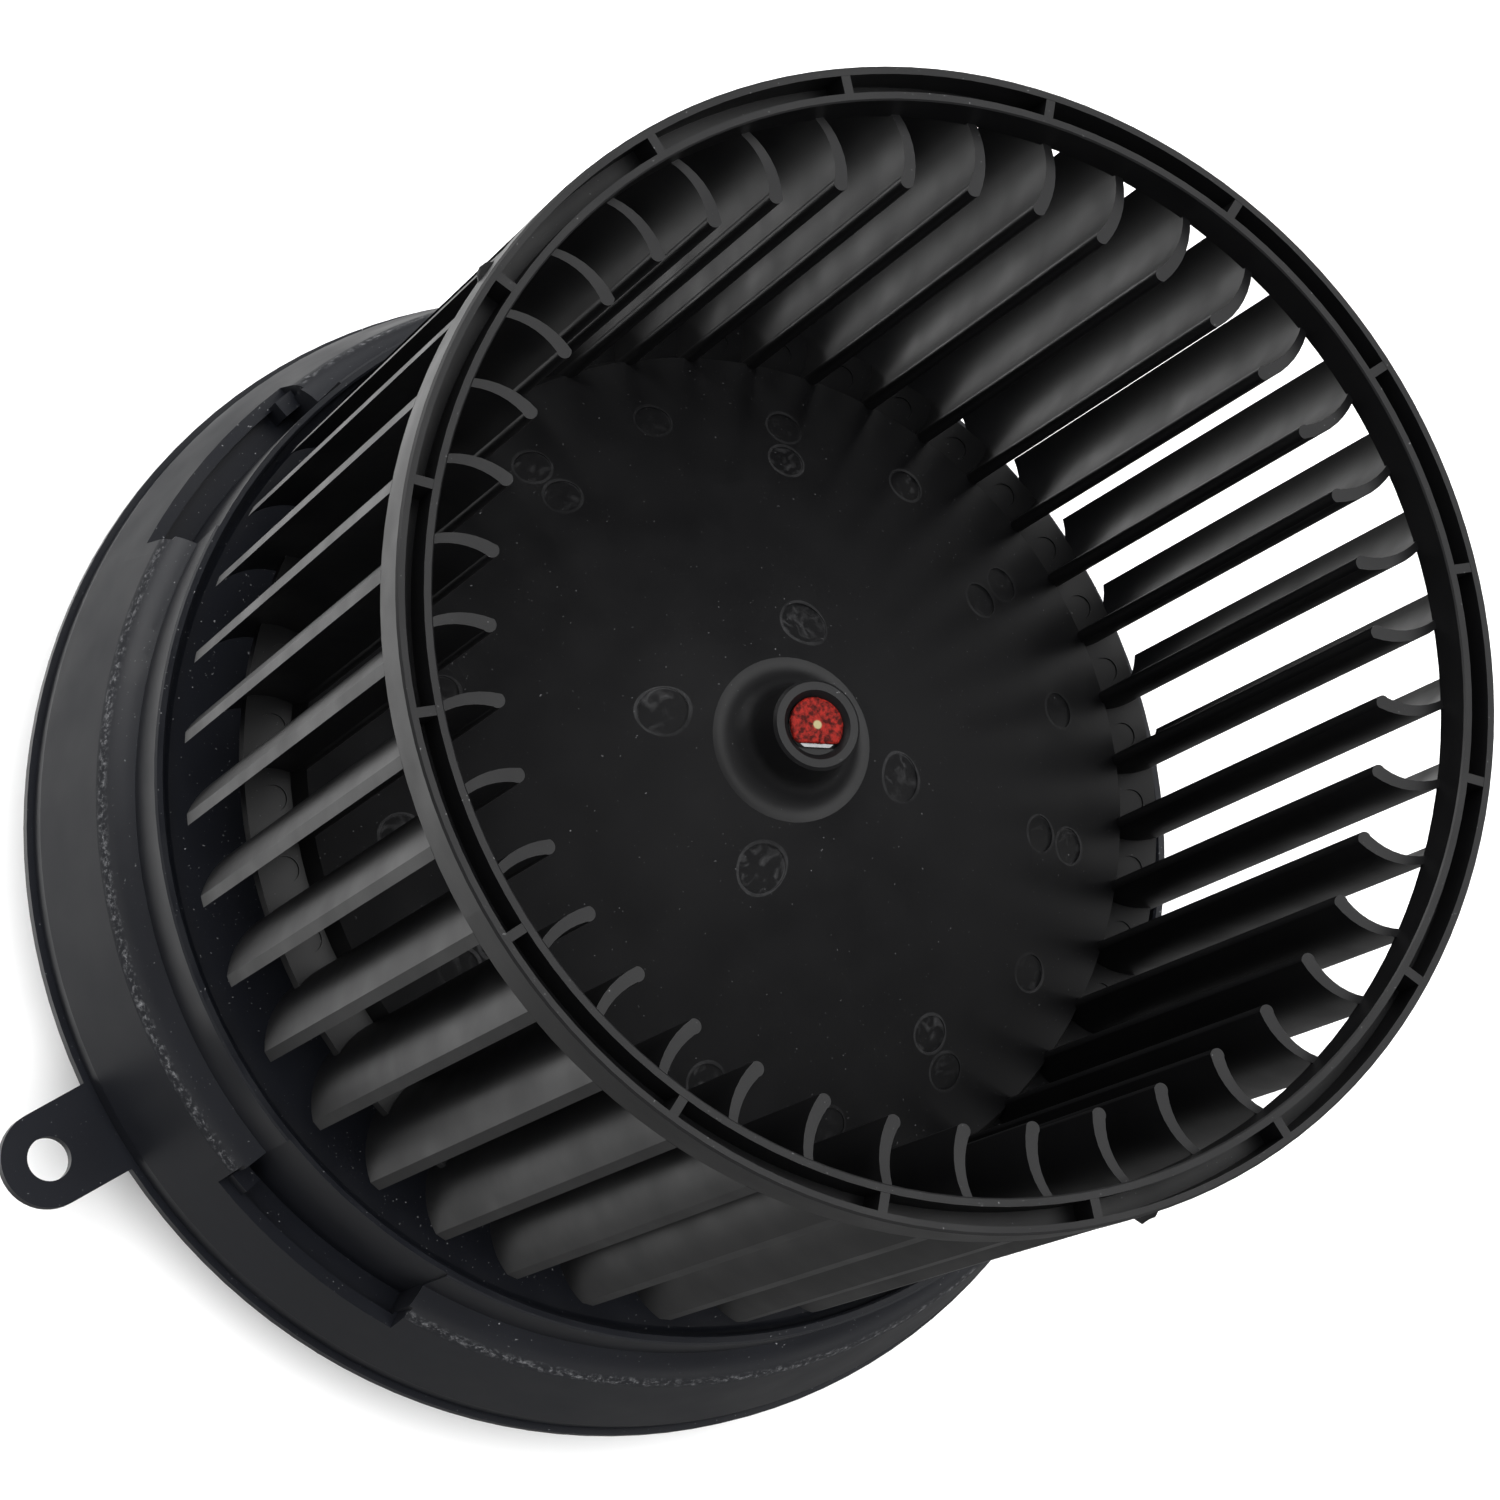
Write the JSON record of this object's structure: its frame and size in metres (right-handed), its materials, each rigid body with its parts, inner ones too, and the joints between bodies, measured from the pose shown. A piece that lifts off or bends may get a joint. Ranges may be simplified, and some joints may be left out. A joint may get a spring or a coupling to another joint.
{
  "type": "blower motor wheel",
  "caption": "Car heater blower: 150 mm squirrel-cage wheel with 41 blades on a brushed DC motor in a bayonet flange housing.",
  "frame": {"origin": "on the shaft axis, in the plane of the ear's upper face, where the drum enters its case", "axes": "+Z along the shaft axis towards the wheel's air inlet; +X towards the locking ear"},
  "size_m": [0.1901, 0.1736, 0.154],
  "materials": {
    "wheel_polypropylene": "matte",
    "housing_polypropylene": "matte",
    "shaft_steel": "ground",
    "core_steel": "laminated",
    "slot_insulation": "matte",
    "winding_copper": "enamelled",
    "commutator_copper": "turned",
    "phenolic": "matte",
    "washer_nylon": "matte",
    "zinc_plated_steel": "zinc plated",
    "ferrite": "sintered",
    "spring_steel": "bright",
    "sintered_bronze": "sintered",
    "brush_carbon": "matte",
    "brass": "pressed",
    "capacitor_coating": "dipped",
    "isolator_rubber": "moulded",
    "cover_plastic": "matte",
    "socket_plastic": "matte",
    "tinned_brass": "tin plated"
  },
  "bodies": {
    "housing": {"motor_can": "zinc_plated_steel", "motor_end_plate": "zinc_plated_steel", "field_magnets": "ferrite", "magnet_clips": "spring_steel", "upper_bearing": "sintered_bronze", "lower_bearing": "sintered_bronze", "upper_bearing_retainer": "spring_steel", "lower_bearing_retainer": "spring_steel", "brush_card": "phenolic", "brush_holders": "brass", "brush_springs": "spring_steel", "suppression_chokes": "winding_copper", "suppression_capacitor": "capacitor_coating", "thermal_cutout": "phenolic", "flange_housing": "housing_polypropylene", "upper_isolator": "isolator_rubber", "lower_isolator": "isolator_rubber", "rear_cover": "cover_plastic", "cover_screws": "zinc_plated_steel", "connector_socket": "socket_plastic", "terminal_blades": "tinned_brass"},
    "rotor": {"wheel_rim": "wheel_polypropylene", "wheel_hub": "wheel_polypropylene", "wheel_blades": "wheel_polypropylene", "rotor_shaft": "shaft_steel", "armature_core": "core_steel", "winding_insulators": "slot_insulation", "armature_windings": "winding_copper", "commutator_bars": "commutator_copper", "commutator_hub": "phenolic", "thrust_washers": "washer_nylon"},
    "right_brush": {"brush_right": "brush_carbon"},
    "left_brush": {"brush_left": "brush_carbon"}
  },
  "joints": [
    {"name": "wheel_spin", "type": "hinge", "parent": "housing", "child": "rotor", "pos_m": [0, 0, 0], "axis": [0, 0, 1], "continuous": true},
    {"name": "brush_right_slide", "type": "slide", "parent": "housing", "child": "right_brush", "axis": [1, 0, 0], "range_m": [0, 0.0025], "stiffness_N_per_m": 200, "springref_m": -0.004},
    {"name": "brush_left_slide", "type": "slide", "parent": "housing", "child": "left_brush", "axis": [-1, 0, 0], "range_m": [0, 0.0025], "stiffness_N_per_m": 200, "springref_m": -0.004}
  ]
}
